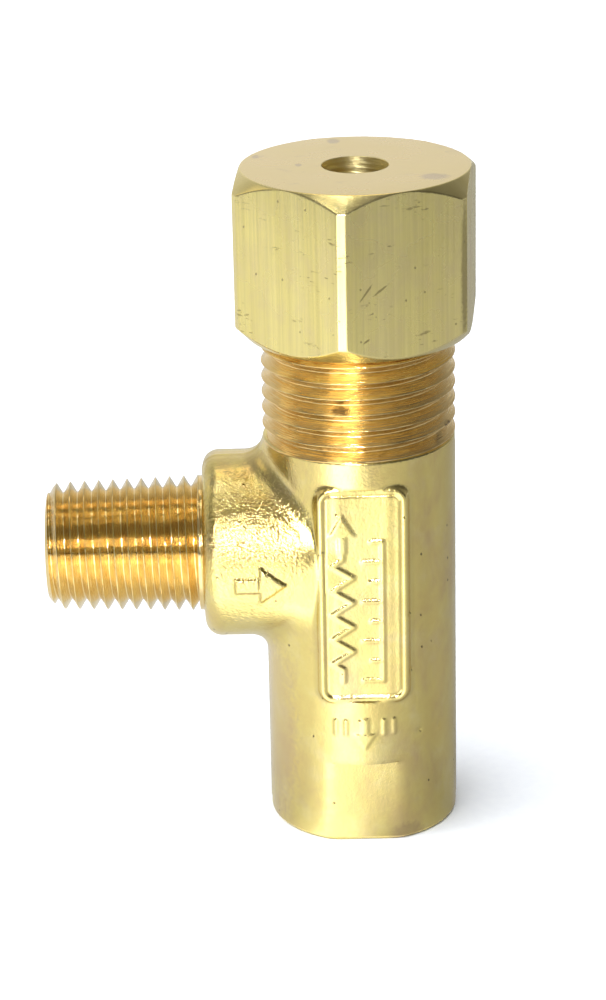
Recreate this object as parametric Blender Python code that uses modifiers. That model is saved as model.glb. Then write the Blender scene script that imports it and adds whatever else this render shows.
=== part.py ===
"""Adjustable pressure relief valve with a side inlet and a bypass port in its foot.

Lengths are millimetres until they reach Blender, which works in metres. Every height
is measured from the foot, and every radius from the valve's upright axis.
"""

import math

import bmesh
import bpy
from mathutils import Matrix, Vector

MM = 0.001
CLEAR = 0.05
FINE_SEGMENTS = 40
SEGMENTS = 24

# Barrel and the long thread that the cap runs on
BARREL_RADIUS = 9.43
BARREL_TOP = 40.475
FOOT_CHAMFER = 0.35
BODY_TOP = 58.5
CAP_PITCH = 25.4 / 16
CAP_THREAD_RADIUS = 9.487
CAP_THREAD_DEPTH = 0.96
CAP_CREST_FLAT = 0.2
CAP_THREAD_START = 40.894

# Inlet, along -X
INLET_HEIGHT = 28.989
INLET_TIP = 31.05
BOSS_FACE = 15.55
BOSS_RADIUS = 9.27
BOSS_ROUND = 1.6
NECK_RADIUS = 7.1
NECK_FACE = 16.3
PIPE_PITCH = 25.4 / 18
PIPE_TAPER = 1 / 32
PIPE_GAUGE = 22.0
PIPE_GAUGE_RADIUS = 6.583
PIPE_THREAD_DEPTH = 1.05
PIPE_CREST_FLAT = 0.08
PIPE_FIRST_CREST = 16.0
INLET_BORE_RADIUS = 3.9

# Foot, wrench flats and the plain panel on the front
FLAT_OFFSET = 8.7
FLAT_HEIGHT = 8.5
PANEL_OFFSET = 9.15
PANEL_HALF_WIDTH = 3.65
PANEL_LOW = 16.0
PANEL_HIGH = 37.0
PANEL_DRAFT = 0.8

# Bores on the upright axis
PORT_MOUTH_RADIUS = 5.6
PORT_END_RADIUS = 5.35
PORT_DEPTH = 9.8
PASSAGE_RADIUS = 3.2
CHAMBER_LOW = 12.5
CHAMBER_RADIUS = 5.2
PISTON_BORE_LOW = 33.4
PISTON_BORE_RADIUS = 5.0
SPRING_BORE_LOW = 43.0
SPRING_BORE_RADIUS = 6.5
STOP_GROOVE = (45.5, 46.5)
STOP_GROOVE_RADIUS = 7.1

# Cap
CAP_LOW = 50.924
CAP_HIGH = 67.305
CAP_FLATS = 22.225
CAP_CORNER_ROUND = 0.5
CAP_TURN = math.radians(-7.5)
CAP_TOP_FACE_RADIUS = 11.035
CAP_FOOT_FACE_RADIUS = 10.8
CAP_TOP_SLOPE = 0.92
CAP_FOOT_SLOPE = 1.0
CAP_BORE_RADIUS = 9.68
CAP_CEILING = 63.45
CAP_HOLE_RADIUS = 3.2
PELLET_HEIGHT = 54.5
PELLET_RADIUS = 1.1

# Valve ball, its seat and what holds them
SEAT_TOP = 16.5
SEAT_BORE_RADIUS = 2.75
BALL_RADIUS = 3.4
BALL_HEIGHT = SEAT_TOP + math.sqrt(BALL_RADIUS**2 - SEAT_BORE_RADIUS**2) + CLEAR

# Piston
STEM_RADIUS = 2.0
STEM_LOW = 22.1
PISTON_LOW = 34.6
PISTON_TOP = 43.25
PISTON_RADIUS = 4.9
STUD_RADIUS = 1.75
STUD_TOP = 49.5

# Spring and what it presses on
SPRING_LOW = 45.0
SPRING_HIGH = 60.7
SPRING_MEAN_RADIUS = 4.85
SPRING_WIRE_RADIUS = 0.85
SPRING_TURNS = 5.5

# The middle of the whole valve's length is the origin, so the axis stands off to +X.
CAP_CORNER = CAP_FLATS / 2 / math.cos(math.pi / 6)
CORNER_CENTRE = (CAP_FLATS / 2 - CAP_CORNER_ROUND) / math.cos(math.pi / 6)
CAP_REACH = CORNER_CENTRE * math.cos(math.pi / 6 + CAP_TURN) + CAP_CORNER_ROUND
AXIS_X = (INLET_TIP - CAP_REACH) / 2

BRASS = ("brass", (0.78, 0.57, 0.2), 1.0, 0.3)
OLIVE_BRASS = ("drawn_brass", (0.55, 0.42, 0.2), 1.0, 0.38)
STEEL = ("stainless", (0.6, 0.6, 0.6), 1.0, 0.25)
SPRING_STEEL = ("spring_steel", (0.42, 0.43, 0.45), 1.0, 0.35)
RUBBER = ("black_rubber", (0.02, 0.02, 0.02), 0.0, 0.7)
WHITE_PLASTIC = ("white_plastic", (0.85, 0.84, 0.8), 0.0, 0.45)


def clear_scene():
    for obj in list(bpy.data.objects):
        bpy.data.objects.remove(obj, do_unlink=True)


def new_collection(name):
    collection = bpy.data.collections.new(name)
    bpy.context.scene.collection.children.link(collection)
    return collection


def material(spec):
    name, colour, metallic, roughness = spec
    if name in bpy.data.materials:
        return bpy.data.materials[name]
    made = bpy.data.materials.new(name)
    made.use_nodes = True
    shader = made.node_tree.nodes["Principled BSDF"]
    shader.inputs["Base Color"].default_value = (*colour, 1.0)
    shader.inputs["Metallic"].default_value = metallic
    shader.inputs["Roughness"].default_value = roughness
    return made


def on_axis(height=0.0):
    """A point of the upright axis, in metres."""
    return Vector((AXIS_X * MM, 0.0, height * MM))


def add_object(name, data, place=None):
    """Puts an object on the valve's axis, or where place says, among the parts."""
    obj = bpy.data.objects.new(name, data)
    obj.location = on_axis() if place is None else place
    parts.objects.link(obj)
    return obj


def as_cutter(obj):
    """Moves a helper solid from the parts to the cutters."""
    parts.objects.unlink(obj)
    cutters.objects.link(obj)
    obj.hide_render = True
    obj.display_type = "WIRE"
    return obj


def finish(obj, spec):
    obj.data.materials.append(material(spec))
    return obj


def hang_from(parent, *children):
    """Parents the children and keeps them where they are."""
    bpy.context.view_layer.update()
    for child in children:
        child.parent = parent
        child.matrix_parent_inverse = parent.matrix_world.inverted()


def mesh_from(name, build):
    """A new mesh, filled by build(bm)."""
    bm = bmesh.new()
    build(bm)
    mesh = bpy.data.meshes.new(name)
    bm.to_mesh(mesh)
    bm.free()
    return mesh


def turned(name, profile, segments=SEGMENTS):
    """A solid of revolution. The profile, in mm, runs down its outer side first."""

    def outline(bm):
        points = [bm.verts.new((r * MM, 0.0, z * MM)) for r, z in profile]
        for start, end in zip(points, points[1:]):
            bm.edges.new((start, end))
        if profile[0][0] > 0:
            bm.edges.new((points[-1], points[0]))

    obj = add_object(name, mesh_from(name, outline))
    screw = obj.modifiers.new("Turn", "SCREW")
    screw.steps = segments
    screw.render_steps = segments
    screw.use_merge_vertices = True
    screw.merge_threshold = 0.00001
    screw.use_smooth_shade = False
    return obj


def ring(name, inner, outer, low, high, segments=SEGMENTS):
    """A plain turned ring with square edges."""
    profile = [(outer, high), (outer, low), (inner, low), (inner, high)]
    return turned(name, profile, segments)


def round_ring(name, mean_radius, section_radius, height, sides=8):
    """An O-ring."""
    angles = [-2 * math.pi * k / sides for k in range(sides)]
    profile = [
        (
            mean_radius + section_radius * math.cos(a),
            height + section_radius * math.sin(a),
        )
        for a in angles
    ]
    return turned(name, profile)


def boolean(obj, other, operation):
    modifier = obj.modifiers.new(other.name, "BOOLEAN")
    modifier.operation = operation
    modifier.solver = "EXACT"
    modifier.object = other


def helical_ridge(name, pitch, start, turns, crest_radius, depth, crest_flat):
    """A right-hand thread's ridge, as a helper that is joined to its core.

    crest_radius(height) gives the crest. The ridge rises out of the core over its
    first quarter turn and sinks back into it over its last.
    """
    per_turn = 20
    steps = round(turns * per_turn)
    fade = per_turn // 4
    crest_half = crest_flat / 2
    sunk = 0.06

    def section(step):
        angle = 2 * math.pi * step / per_turn
        height = start + pitch * step / per_turn
        share = min(step, steps - step, fade) / fade
        crest = crest_radius(height) - (1 - share) * (depth + sunk / 2)
        root = crest_radius(height) - depth - sunk
        base_half = crest_half + (crest - root) * math.tan(math.pi / 6)
        ends = ((root, -base_half), (crest, -crest_half))
        ends += ((crest, crest_half), (root, base_half))
        return [
            (r * math.cos(angle), r * math.sin(angle), height + up) for r, up in ends
        ]

    def loft(bm):
        rings = [
            [bm.verts.new(Vector(p) * MM) for p in section(step)]
            for step in range(steps + 1)
        ]
        for low, high in zip(rings, rings[1:]):
            for k in range(4):
                after = (k + 1) % 4
                bm.faces.new((low[k], high[k], high[after], low[after]))
        bm.faces.new(rings[0])
        bm.faces.new(rings[-1][::-1])
        bmesh.ops.recalc_face_normals(bm, faces=bm.faces)

    return as_cutter(add_object(name, mesh_from(name, loft)))


def box(name, low, high):
    """A helper box between two corners, in mm, with X measured from the axis."""
    size = Vector(high) - Vector(low)
    middle = (Vector(high) + Vector(low)) / 2

    def cube(bm):
        bmesh.ops.create_cube(bm, size=1.0)
        bmesh.ops.scale(bm, vec=size * MM, verts=bm.verts)

    obj = add_object(name, mesh_from(name, cube), on_axis() + middle * MM)
    return as_cutter(obj)


def lay_to_inlet(obj):
    """Turns a helper made along +Z to lie along -X at the inlet's height."""
    obj.location = on_axis(INLET_HEIGHT)
    obj.rotation_euler = (0.0, -math.pi / 2, 0.0)
    return obj


def pipe_crest(distance):
    return PIPE_GAUGE_RADIUS - (distance - PIPE_GAUGE) * PIPE_TAPER


def inlet_spigot():
    """The boss with its rounded edge, the neck and the core of the pipe thread."""
    edge = [
        (
            BOSS_RADIUS - BOSS_ROUND * (1 - math.cos(a)),
            BOSS_FACE - BOSS_ROUND * (1 - math.sin(a)),
        )
        for a in (math.radians(90 - 22.5 * k) for k in range(5))
    ]
    tip_core = pipe_crest(INLET_TIP) - PIPE_THREAD_DEPTH
    profile = [
        (0.0, INLET_TIP),
        (tip_core - 0.1, INLET_TIP),
        (tip_core, INLET_TIP - 0.3),
        (pipe_crest(NECK_FACE) - PIPE_THREAD_DEPTH, NECK_FACE),
        (NECK_RADIUS, NECK_FACE),
        (NECK_RADIUS, BOSS_FACE),
        *edge,
        (BOSS_RADIUS, 0.0),
        (0.0, 0.0),
    ]
    return lay_to_inlet(as_cutter(turned("spigot", profile, FINE_SEGMENTS)))


def panel_block():
    """The flat panel on the front: a slab with drafted sides, let into the barrel."""
    depth = 3.0
    half_height = (PANEL_HIGH - PANEL_LOW) / 2

    def slab(bm):
        front = (PANEL_HALF_WIDTH, half_height)
        back = (PANEL_HALF_WIDTH + PANEL_DRAFT * depth, half_height)
        loops = []
        for (half_x, half_z), y in ((front, 0.0), (back, depth)):
            corners = ((-1, -1), (1, -1), (1, 1), (-1, 1))
            loops.append(
                [bm.verts.new(Vector((half_x * a, y, half_z * b)) * MM) for a, b in corners]
            )
        for k in range(4):
            after = (k + 1) % 4
            bm.faces.new((loops[0][k], loops[1][k], loops[1][after], loops[0][after]))
        bm.faces.new(loops[0])
        bm.faces.new(loops[1])
        bmesh.ops.recalc_face_normals(bm, faces=bm.faces)

    middle = on_axis((PANEL_HIGH + PANEL_LOW) / 2)
    middle.y = -PANEL_OFFSET * MM
    return as_cutter(add_object("panel_slab", mesh_from("panel_slab", slab), middle))


def bore_cutter():
    """Everything that is bored from the top and the foot, as one turned helper."""
    over = 1.0
    groove_low, groove_high = STOP_GROOVE
    profile = [
        (0.0, BODY_TOP + over),
        (SPRING_BORE_RADIUS + over + 0.4, BODY_TOP + over),
        (SPRING_BORE_RADIUS, BODY_TOP - 0.4),
        (SPRING_BORE_RADIUS, groove_high),
        (STOP_GROOVE_RADIUS, groove_high),
        (STOP_GROOVE_RADIUS, groove_low),
        (SPRING_BORE_RADIUS, groove_low),
        (SPRING_BORE_RADIUS, SPRING_BORE_LOW),
        (PISTON_BORE_RADIUS, SPRING_BORE_LOW),
        (PISTON_BORE_RADIUS, PISTON_BORE_LOW),
        (CHAMBER_RADIUS, PISTON_BORE_LOW - 0.2),
        (CHAMBER_RADIUS, CHAMBER_LOW),
        (PASSAGE_RADIUS, CHAMBER_LOW),
        (PASSAGE_RADIUS, PORT_DEPTH + 1.1),
        (PORT_END_RADIUS, PORT_DEPTH),
        (PORT_MOUTH_RADIUS, 0.6),
        (PORT_MOUTH_RADIUS + 0.6 + over, -over),
        (0.0, -over),
    ]
    return as_cutter(turned("bore_cutter", profile))


def inlet_bore_cutter():
    over = 1.0
    profile = [
        (0.0, INLET_TIP + over),
        (INLET_BORE_RADIUS, INLET_TIP + over),
        (INLET_BORE_RADIUS, 3.0),
        (0.0, 3.0),
    ]
    return lay_to_inlet(as_cutter(turned("inlet_bore_cutter", profile)))


def make_body():
    """The one brass forging: barrel, inlet, foot and both outer threads."""
    core = CAP_THREAD_RADIUS - CAP_THREAD_DEPTH
    profile = [
        (0.0, BODY_TOP),
        (core - 0.4, BODY_TOP),
        (core, BODY_TOP - 0.4),
        (core, BARREL_TOP),
        (BARREL_RADIUS, BARREL_TOP),
        (BARREL_RADIUS, FOOT_CHAMFER),
        (BARREL_RADIUS - FOOT_CHAMFER, 0.0),
        (0.0, 0.0),
    ]
    body = turned("valve_body", profile, FINE_SEGMENTS)
    boolean(body, inlet_spigot(), "UNION")
    pocket_low = (-PANEL_HALF_WIDTH, -12.0, PANEL_LOW)
    pocket_high = (PANEL_HALF_WIDTH, -PANEL_OFFSET, PANEL_HIGH)
    boolean(body, box("panel_pocket", pocket_low, pocket_high), "DIFFERENCE")
    boolean(body, panel_block(), "UNION")
    for side, name in ((-1, "front_flat"), (1, "back_flat")):
        near, far = sorted((side * FLAT_OFFSET, side * 12.0))
        cutter = box(name, (-12, near, -1.0), (12, far, FLAT_HEIGHT))
        boolean(body, cutter, "DIFFERENCE")
    cap_turns = (BODY_TOP - 0.7 - CAP_THREAD_START) / CAP_PITCH
    cap_ridge = helical_ridge(
        "cap_thread_ridge",
        CAP_PITCH,
        CAP_THREAD_START,
        cap_turns,
        lambda height: CAP_THREAD_RADIUS,
        CAP_THREAD_DEPTH,
        CAP_CREST_FLAT,
    )
    boolean(body, cap_ridge, "UNION")
    pipe_turns = (INLET_TIP - 1.0 - PIPE_FIRST_CREST) / PIPE_PITCH
    pipe_ridge = helical_ridge(
        "pipe_thread_ridge",
        PIPE_PITCH,
        PIPE_FIRST_CREST,
        pipe_turns,
        pipe_crest,
        PIPE_THREAD_DEPTH,
        PIPE_CREST_FLAT,
    )
    boolean(body, lay_to_inlet(pipe_ridge), "UNION")
    boolean(body, bore_cutter(), "DIFFERENCE")
    boolean(body, inlet_bore_cutter(), "DIFFERENCE")
    return finish(body, BRASS)


def make_seat():
    """The seat, its O-ring and the threaded ring that holds them down."""
    outer = CHAMBER_RADIUS - 0.1
    groove = (13.9, 15.0)
    groove_radius = outer - 1.0
    low = CHAMBER_LOW + CLEAR
    profile = [
        (outer, SEAT_TOP),
        (outer, groove[1]),
        (groove_radius, groove[1]),
        (groove_radius, groove[0]),
        (outer, groove[0]),
        (outer, low),
        (SEAT_BORE_RADIUS + 0.2, low),
        (SEAT_BORE_RADIUS, low + 0.3),
        (SEAT_BORE_RADIUS, SEAT_TOP),
    ]
    finish(turned("valve_seat", profile), STEEL)
    o_ring = round_ring("seat_o_ring", groove_radius + 0.52, 0.46, sum(groove) / 2)
    finish(o_ring, RUBBER)
    retainer = ring("seat_retainer", 4.3, outer, SEAT_TOP + CLEAR, 18.4)
    finish(retainer, BRASS)


def make_ball_set():
    """The ball and the carrier that is crimped round it."""

    def ball(bm):
        bmesh.ops.create_uvsphere(bm, u_segments=20, v_segments=12, radius=BALL_RADIUS * MM)

    placed = on_axis(BALL_HEIGHT)
    valve_ball = finish(add_object("valve_ball", mesh_from("valve_ball", ball), placed), STEEL)
    stem_hole = STEM_RADIUS + CLEAR
    profile = [
        (3.6, 25.4),
        (4.0, 25.0),
        (4.0, 18.0),
        (3.8, 17.6),
        (3.36, 17.6),
        (3.5, 18.2),
        (3.5, 20.4),
        (stem_hole, 22.0),
        (stem_hole, 25.4),
    ]
    carrier = finish(turned("ball_carrier", profile), STEEL)
    return [valve_ball, carrier]


def make_piston():
    """The stem with its piston head, and the rings in the head's grooves."""
    seal = (36.4, 39.8)
    guide = (40.9, 42.1)
    seal_floor = 3.4
    guide_floor = 4.35
    profile = [
        (0.0, STUD_TOP),
        (STUD_RADIUS - 0.3, STUD_TOP),
        (STUD_RADIUS, STUD_TOP - 0.3),
        (STUD_RADIUS, PISTON_TOP),
        (PISTON_RADIUS - 0.3, PISTON_TOP),
        (PISTON_RADIUS, PISTON_TOP - 0.3),
        (PISTON_RADIUS, guide[1]),
        (guide_floor, guide[1]),
        (guide_floor, guide[0]),
        (PISTON_RADIUS, guide[0]),
        (PISTON_RADIUS, seal[1]),
        (seal_floor, seal[1]),
        (seal_floor, seal[0]),
        (PISTON_RADIUS, seal[0]),
        (PISTON_RADIUS, PISTON_LOW + 0.3),
        (PISTON_RADIUS - 0.3, PISTON_LOW),
        (STEM_RADIUS, PISTON_LOW),
        (STEM_RADIUS, STEM_LOW),
        (0.0, STEM_LOW),
    ]
    stem = finish(turned("piston_stem", profile), STEEL)
    inner = seal_floor + CLEAR
    outer = PISTON_BORE_RADIUS - CLEAR
    thick = 0.7
    low_ring = ring("lower_backup_ring", inner, outer, seal[0] + CLEAR, seal[0] + CLEAR + thick)
    high_ring = ring("upper_backup_ring", inner, outer, seal[1] - CLEAR - thick, seal[1] - CLEAR)
    o_ring = round_ring("piston_o_ring", (inner + outer) / 2, (outer - inner) / 2, sum(seal) / 2)
    band = ring("piston_guide_ring", guide_floor + CLEAR, outer, guide[0] + CLEAR, guide[1] - CLEAR)
    for piece in (low_ring, high_ring, band):
        finish(piece, WHITE_PLASTIC)
    finish(o_ring, RUBBER)
    return [stem, low_ring, high_ring, o_ring, band]


def make_lower_spring_end():
    """The spring's lower seat, a shim on it and the nut that holds the seat down."""
    low = PISTON_TOP + CLEAR
    flange_top = 44.5
    pilot_top = 46.3
    hole = STUD_RADIUS + 0.1
    profile = [
        (3.5, pilot_top),
        (3.7, pilot_top - 0.3),
        (3.7, flange_top),
        (6.2, flange_top),
        (6.2, low),
        (hole, low),
        (hole, pilot_top),
    ]
    seat = finish(turned("lower_spring_seat", profile), STEEL)
    shim = finish(ring("spring_shim", 3.8, 5.75, flange_top + CLEAR, SPRING_LOW - CLEAR), STEEL)
    nut_low = pilot_top + CLEAR
    nut_height = 2.4

    def hexagon(bm):
        bmesh.ops.create_cone(
            bm,
            cap_ends=True,
            segments=6,
            radius1=3.45 * MM,
            radius2=3.45 * MM,
            depth=nut_height * MM,
        )

    middle = on_axis(nut_low + nut_height / 2)
    nut = add_object("stem_nut", mesh_from("stem_nut", hexagon), middle)
    bevel = nut.modifiers.new("Edges", "BEVEL")
    bevel.width = 0.2 * MM
    bevel.segments = 1
    hole_cutter = ring("nut_hole", 0.0, hole, nut_low - 1.0, nut_low + nut_height + 1.0)
    boolean(nut, as_cutter(hole_cutter), "DIFFERENCE")
    finish(nut, STEEL)
    return [seat, shim, nut]


def make_stop_ring():
    """The snap ring that ends the piston's lift, open at the back."""
    low, high = STOP_GROOVE
    stop = ring("piston_stop_ring", 5.95, 7.0, low + 0.1, high - 0.1)
    gap = box("stop_ring_gap", (-1.2, 4.0, low - 1.0), (1.2, 8.0, high + 1.0))
    boolean(stop, gap, "DIFFERENCE")
    finish(stop, SPRING_STEEL)


def spring_height(turn):
    """How high the wire's middle is after so many turns: each end coil lies closed."""
    closed_rise = 2 * SPRING_WIRE_RADIUS + 0.12
    low = SPRING_LOW + SPRING_WIRE_RADIUS
    high = SPRING_HIGH - SPRING_WIRE_RADIUS
    if turn <= 1:
        return low + closed_rise * turn
    if turn >= SPRING_TURNS - 1:
        return high - closed_rise * (SPRING_TURNS - turn)
    share = (turn - 1) / (SPRING_TURNS - 2)
    return low + closed_rise + share * (high - low - 2 * closed_rise)


def make_spring():
    per_turn = 14
    count = round(SPRING_TURNS * per_turn) + 1
    curve = bpy.data.curves.new("pressure_spring", "CURVE")
    curve.dimensions = "3D"
    curve.bevel_depth = SPRING_WIRE_RADIUS * MM
    curve.bevel_resolution = 2
    curve.use_fill_caps = True
    spline = curve.splines.new("POLY")
    spline.points.add(count - 1)
    for k, point in enumerate(spline.points):
        turn = k / per_turn
        angle = 2 * math.pi * turn
        place = Vector(
            (
                SPRING_MEAN_RADIUS * math.cos(angle),
                SPRING_MEAN_RADIUS * math.sin(angle),
                spring_height(turn),
            )
        )
        point.co = (*(place * MM), 1.0)
    finish(add_object("pressure_spring", curve), SPRING_STEEL)


def make_upper_spring_end():
    """The guide on top of the spring and the washer that the cap turns on."""
    flange_low = SPRING_HIGH + CLEAR
    flange_top = 62.35
    pilot_low = 57.2
    profile = [
        (6.2, flange_top),
        (6.2, flange_low),
        (3.75, flange_low),
        (3.75, pilot_low + 0.4),
        (3.35, pilot_low),
        (1.7, pilot_low),
        (1.7, flange_top),
    ]
    guide = finish(turned("upper_spring_guide", profile), STEEL)
    washer_high = CAP_CEILING - CLEAR
    washer = ring("thrust_washer", 3.4, 6.1, flange_top + CLEAR, washer_high)
    return guide, finish(washer, BRASS)


def cap_envelope():
    """The turned solid that chamfers the hexagon's ends, with the cap's bores in it."""
    wide = CAP_CORNER + 0.5
    mouth = 0.9
    profile = [
        (CAP_TOP_FACE_RADIUS, CAP_HIGH),
        (wide, CAP_HIGH - (wide - CAP_TOP_FACE_RADIUS) * CAP_TOP_SLOPE),
        (wide, CAP_LOW + (wide - CAP_FOOT_FACE_RADIUS) * CAP_FOOT_SLOPE),
        (CAP_FOOT_FACE_RADIUS, CAP_LOW),
        (CAP_BORE_RADIUS + mouth / 2, CAP_LOW),
        (CAP_BORE_RADIUS, CAP_LOW + mouth),
        (CAP_BORE_RADIUS, CAP_CEILING),
        (CAP_HOLE_RADIUS, CAP_CEILING),
        (CAP_HOLE_RADIUS, CAP_HIGH - 0.2),
        (CAP_HOLE_RADIUS + 0.2, CAP_HIGH),
    ]
    return as_cutter(turned("cap_envelope", profile, FINE_SEGMENTS))


def radial_pin(name, radius, inner, outer, angle):
    """A short cylinder that points away from the axis, at the pellet's height."""

    def pin(bm):
        bmesh.ops.create_cone(
            bm,
            cap_ends=True,
            segments=16,
            radius1=radius * MM,
            radius2=radius * MM,
            depth=(outer - inner) * MM,
        )
        middle = (inner + outer) / 2 * MM
        turn = Matrix.Rotation(angle, 4, "Z") @ Matrix.Translation((middle, 0, 0))
        bm.transform(turn @ Matrix.Rotation(math.pi / 2, 4, "Y"))

    return add_object(name, mesh_from(name, pin), on_axis(PELLET_HEIGHT))


def make_cap():
    """The hexagonal cap and the nylon pellet that drags on the thread inside it."""

    def hexagon(bm):
        bmesh.ops.create_cone(
            bm,
            cap_ends=True,
            segments=6,
            radius1=CAP_CORNER * MM,
            radius2=CAP_CORNER * MM,
            depth=(CAP_HIGH - CAP_LOW + 2.0) * MM,
        )
        # create_cone puts its first corner on the Y axis, so two corners lie there.
        bm.transform(Matrix.Rotation(CAP_TURN, 4, "Z"))
        upright = [e for e in bm.edges if abs(e.verts[0].co.z - e.verts[1].co.z) > MM]
        bmesh.ops.bevel(
            bm,
            geom=upright,
            offset=CAP_CORNER_ROUND * math.tan(math.pi / 6) * MM,
            offset_type="OFFSET",
            segments=3,
            profile=0.5,
            affect="EDGES",
        )

    middle = on_axis((CAP_HIGH + CAP_LOW) / 2)
    cap = add_object("adjusting_cap", mesh_from("adjusting_cap", hexagon), middle)
    boolean(cap, cap_envelope(), "INTERSECT")
    at_corner = math.pi / 2 + CAP_TURN
    hole = radial_pin("pellet_hole", PELLET_RADIUS + CLEAR, 8.0, 11.4, at_corner)
    boolean(cap, as_cutter(hole), "DIFFERENCE")
    pellet = radial_pin("thread_lock_pellet", PELLET_RADIUS, CAP_BORE_RADIUS, 11.3, at_corner)
    return [finish(cap, OLIVE_BRASS), finish(pellet, WHITE_PLASTIC)]


def joint_axis(name, height, parent=None):
    """An empty on the upright axis that a moving group hangs from."""
    empty = add_object(name, None, on_axis(height))
    if parent:
        hang_from(parent, empty)
    return empty


clear_scene()
parts = new_collection("pressure_relief_valve")
cutters = new_collection("cutters")

body = make_body()
make_seat()
make_stop_ring()
make_spring()

piston_axis = joint_axis("piston_lift", PISTON_LOW)
hang_from(piston_axis, *make_ball_set(), *make_piston(), *make_lower_spring_end())

lift_axis = joint_axis("cap_lift", CAP_CEILING)
spring_guide, thrust_washer = make_upper_spring_end()
hang_from(lift_axis, spring_guide)

turn_axis = joint_axis("cap_turn", CAP_LOW, lift_axis)
hang_from(turn_axis, thrust_washer, *make_cap())
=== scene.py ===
"""The looks of a brass pressure relief valve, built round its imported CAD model.

Lengths are millimetres until they reach Blender, which works in metres. Every height
is measured from the foot. Shapes are made round the valve's upright axis, with the
inlet towards -X and the front towards -Y, and are then moved to where the frame has
that axis.
"""
import math

import bmesh
import bpy
import numpy as np
from mathutils import Matrix, Vector


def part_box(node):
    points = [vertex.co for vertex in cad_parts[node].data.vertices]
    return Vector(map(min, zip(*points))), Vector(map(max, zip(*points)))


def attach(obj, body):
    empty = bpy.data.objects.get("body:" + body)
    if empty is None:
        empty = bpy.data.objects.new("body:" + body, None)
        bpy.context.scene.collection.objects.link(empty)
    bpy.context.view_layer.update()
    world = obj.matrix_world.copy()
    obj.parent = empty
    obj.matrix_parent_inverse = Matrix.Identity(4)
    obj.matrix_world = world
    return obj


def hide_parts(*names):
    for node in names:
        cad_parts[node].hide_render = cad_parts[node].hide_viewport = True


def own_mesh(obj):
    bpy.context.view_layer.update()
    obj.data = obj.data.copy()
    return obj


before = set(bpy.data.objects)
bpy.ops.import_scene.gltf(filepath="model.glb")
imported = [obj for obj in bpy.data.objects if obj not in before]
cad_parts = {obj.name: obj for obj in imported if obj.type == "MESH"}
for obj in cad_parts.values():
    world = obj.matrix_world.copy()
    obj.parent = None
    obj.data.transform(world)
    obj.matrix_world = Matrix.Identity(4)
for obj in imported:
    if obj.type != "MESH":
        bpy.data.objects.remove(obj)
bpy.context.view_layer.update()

MM = 0.001


def axis_of(node):
    """The X of a round node's own axis, in metres."""
    low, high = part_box(node)
    return (low[0] + high[0]) / 2


AXIS_X = axis_of("valve_seat")

# ---- driving sizes, mm
BARREL_RADIUS = 9.43
BARREL_TOP = 40.475
BODY_TOP = 58.5
CAP_PITCH = 25.4 / 16
CAP_THREAD_RADIUS = 9.487
CAP_THREAD_START = 40.894
INLET_HEIGHT = 28.989
INLET_TIP = 31.05
BOSS_FACE = 15.55
BOSS_RADIUS = 9.27
BOSS_ROUND = 1.6
NECK_RADIUS = 6.72
NECK_FACE = 16.05
PIPE_PITCH = 25.4 / 18
PIPE_TAPER = 1 / 32
PIPE_GAUGE = 22.0
PIPE_GAUGE_RADIUS = 6.583
PIPE_CREST_AT = 28.68
INLET_BORE_RADIUS = 3.9
TIP_FACE_RADIUS = 5.25
FLAT_OFFSET = 8.7
FLAT_HEIGHT = 8.5
PANEL_OFFSET = 9.15
PANEL_HALF_WIDTH = 3.65
PANEL_LOW = 16.0
PANEL_HIGH = 37.0
PANEL_BEAD = 0.7
PANEL_DRAFT = 0.35
PANEL_DISH = 0.12
CAP_LOW = 50.924
CAP_HIGH = 67.305
CAP_FLATS = 22.225
CAP_CORNER_FACET = 0.44
CAP_TURN = math.radians(-7.5)
CAP_TOP_FACE_RADIUS = 11.035
CAP_FOOT_FACE_RADIUS = 10.8
CAP_TOP_SLOPE = 0.92
CAP_FOOT_SLOPE = 1.0
CAP_CEILING = 63.45
CAP_HOLE_RADIUS = 3.2
CAP_INNER_CREST = 9.62
CAP_INNER_ROOT = 8.66
CAP_INNER_TOP = 61.2
CAP_RELIEF_RADIUS = 9.72
CAP_RELIEF_LOW = 60.5

THREAD_BASE = BARREL_TOP - 0.4
NECK_BASE = BOSS_FACE - 1.0
FORGING_PITCH = 0.285
THREAD_STEPS = 80


# ---- meshes and joins
def new_object(name, points, faces, material=None):
    """A mesh object from points in mm, left at the origin of the valve's own axis."""
    mesh = bpy.data.meshes.new(name)
    mesh.from_pydata((np.asarray(points, float) * MM).tolist(), [], faces)
    mesh.validate()
    obj = bpy.data.objects.new(name, mesh)
    bpy.context.scene.collection.objects.link(obj)
    if material:
        mesh.materials.append(material)
    return obj


def quads(first, second):
    """Faces between two rows of point numbers, which run anticlockwise and upwards."""
    rows = np.stack([first[:-1], first[1:], second[1:], second[:-1]], axis=-1)
    return rows.reshape(-1, 4).tolist()


def turned(name, profile, material, segments=128):
    """A closed solid of revolution from (radius, height) points, outer side first."""
    angles = np.linspace(0, 2 * math.pi, segments, endpoint=False)
    rings = []
    points = []
    for radius, height in profile:
        start = len(points)
        if radius < 1e-6:
            points.append((0.0, 0.0, height))
            rings.append([start] * (segments + 1))
        else:
            points += [(radius * math.cos(a), radius * math.sin(a), height) for a in angles]
            rings.append([start + k % segments for k in range(segments + 1)])
    faces = []
    for upper, lower in zip(rings, rings[1:]):
        for k in range(segments):
            corners = (lower[k], lower[k + 1], upper[k + 1], upper[k])
            faces.append(tuple(dict.fromkeys(corners)))
    return new_object(name, points, [f for f in faces if len(f) > 2], material)


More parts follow.
